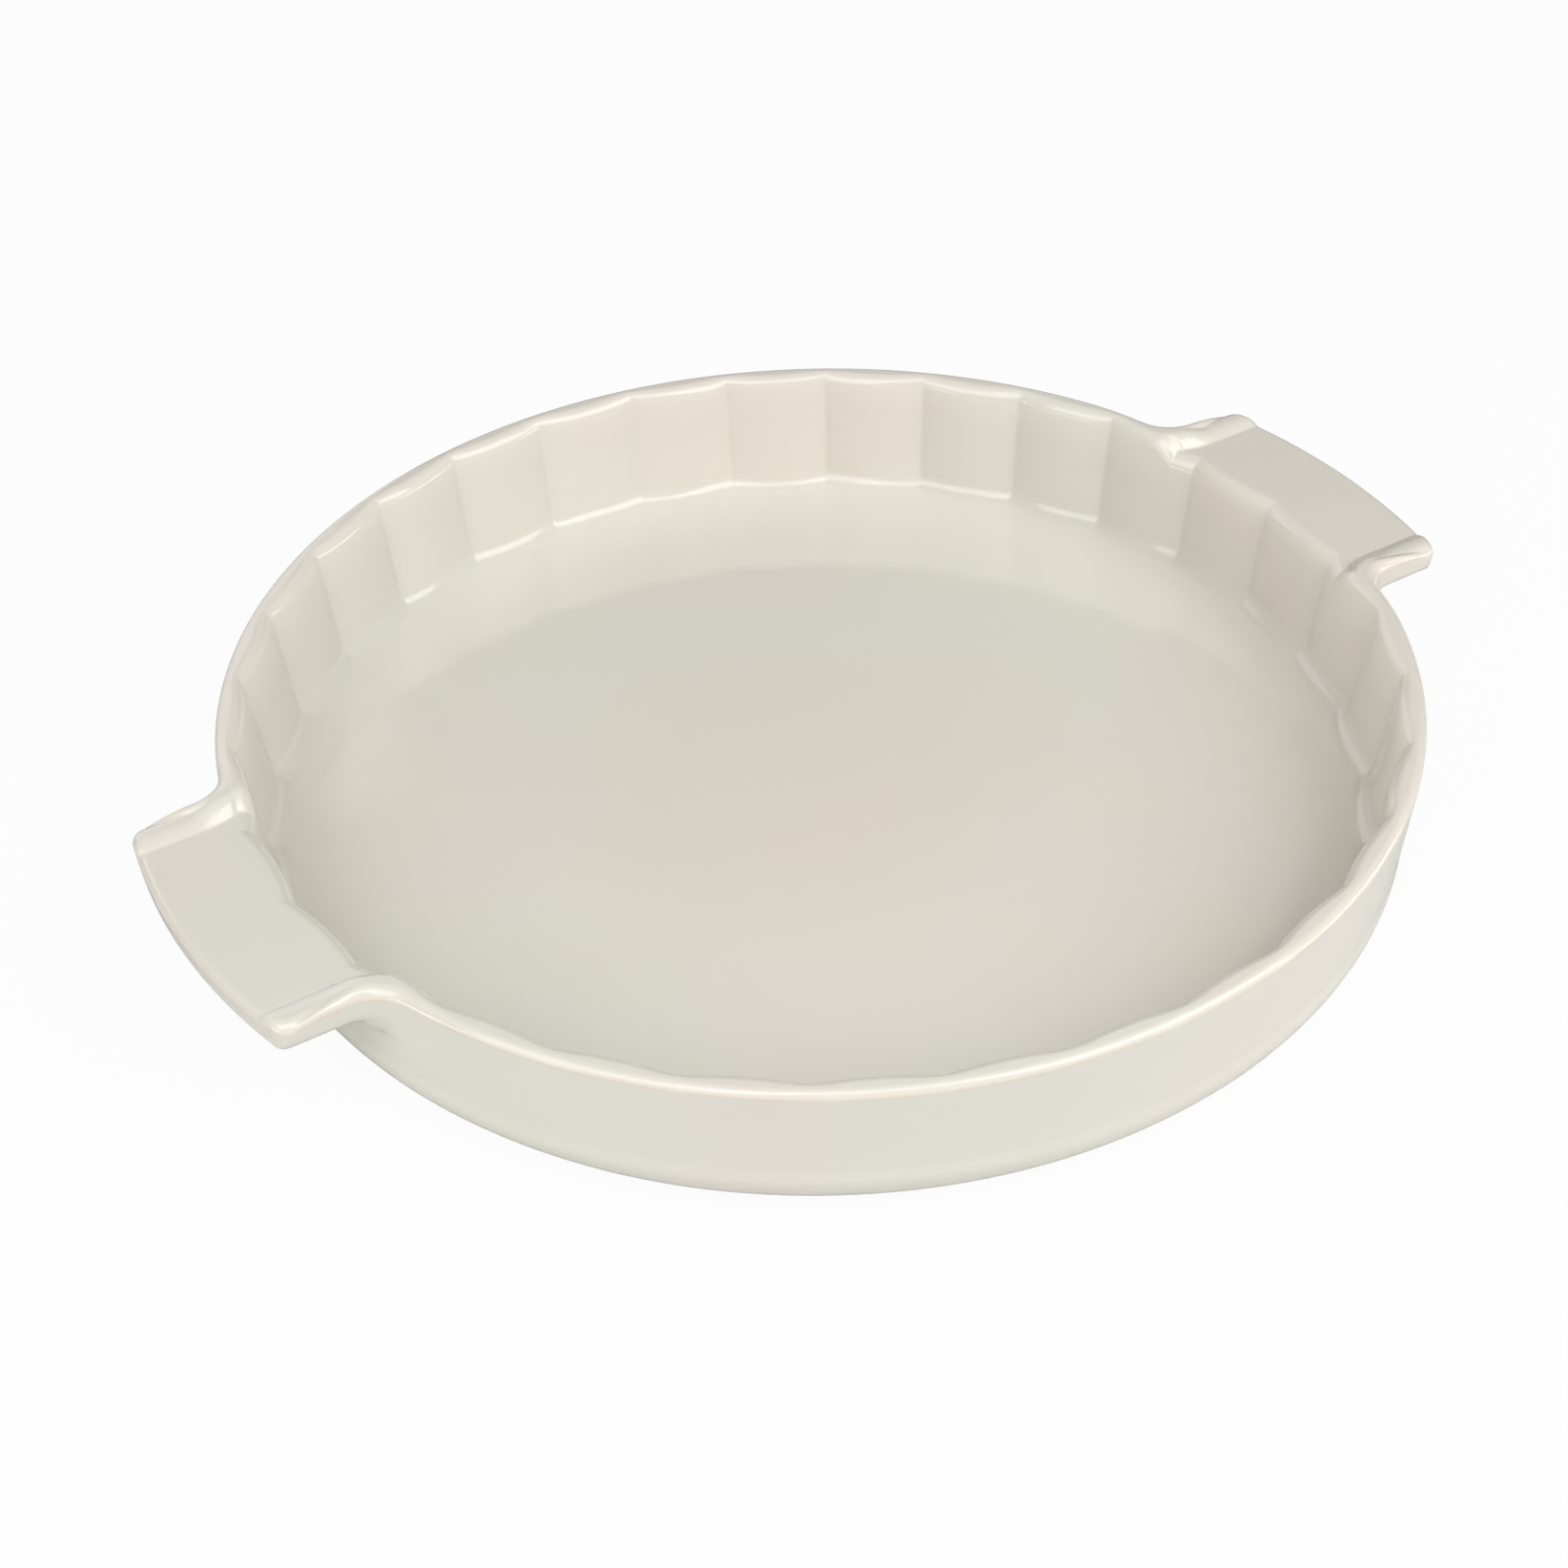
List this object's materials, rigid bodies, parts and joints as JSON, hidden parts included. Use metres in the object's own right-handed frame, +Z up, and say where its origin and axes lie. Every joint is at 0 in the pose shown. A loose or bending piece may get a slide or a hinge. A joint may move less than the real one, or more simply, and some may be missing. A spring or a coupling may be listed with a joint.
{
  "type": "pie dish",
  "caption": "Round glazed stoneware pie dish with a fluted inside wall, a smooth drafted outside, two flat lug handles and a low unglazed foot ring.",
  "frame": {"origin": "centre of the dish at the plane it stands on", "axes": "+X through the middle of the right handle, +Z up out of the dish, +Y completes the frame"},
  "size_m": [0.3448, 0.2992, 0.0413],
  "materials": {
    "glazed_stoneware": "glossy ecru glaze",
    "bare_stoneware": "matt unglazed stoneware"
  },
  "bodies": {
    "root": {"bowl": "glazed_stoneware", "left_handle": "glazed_stoneware", "right_handle": "glazed_stoneware", "foot_ring": "bare_stoneware"}
  },
  "joints": []
}
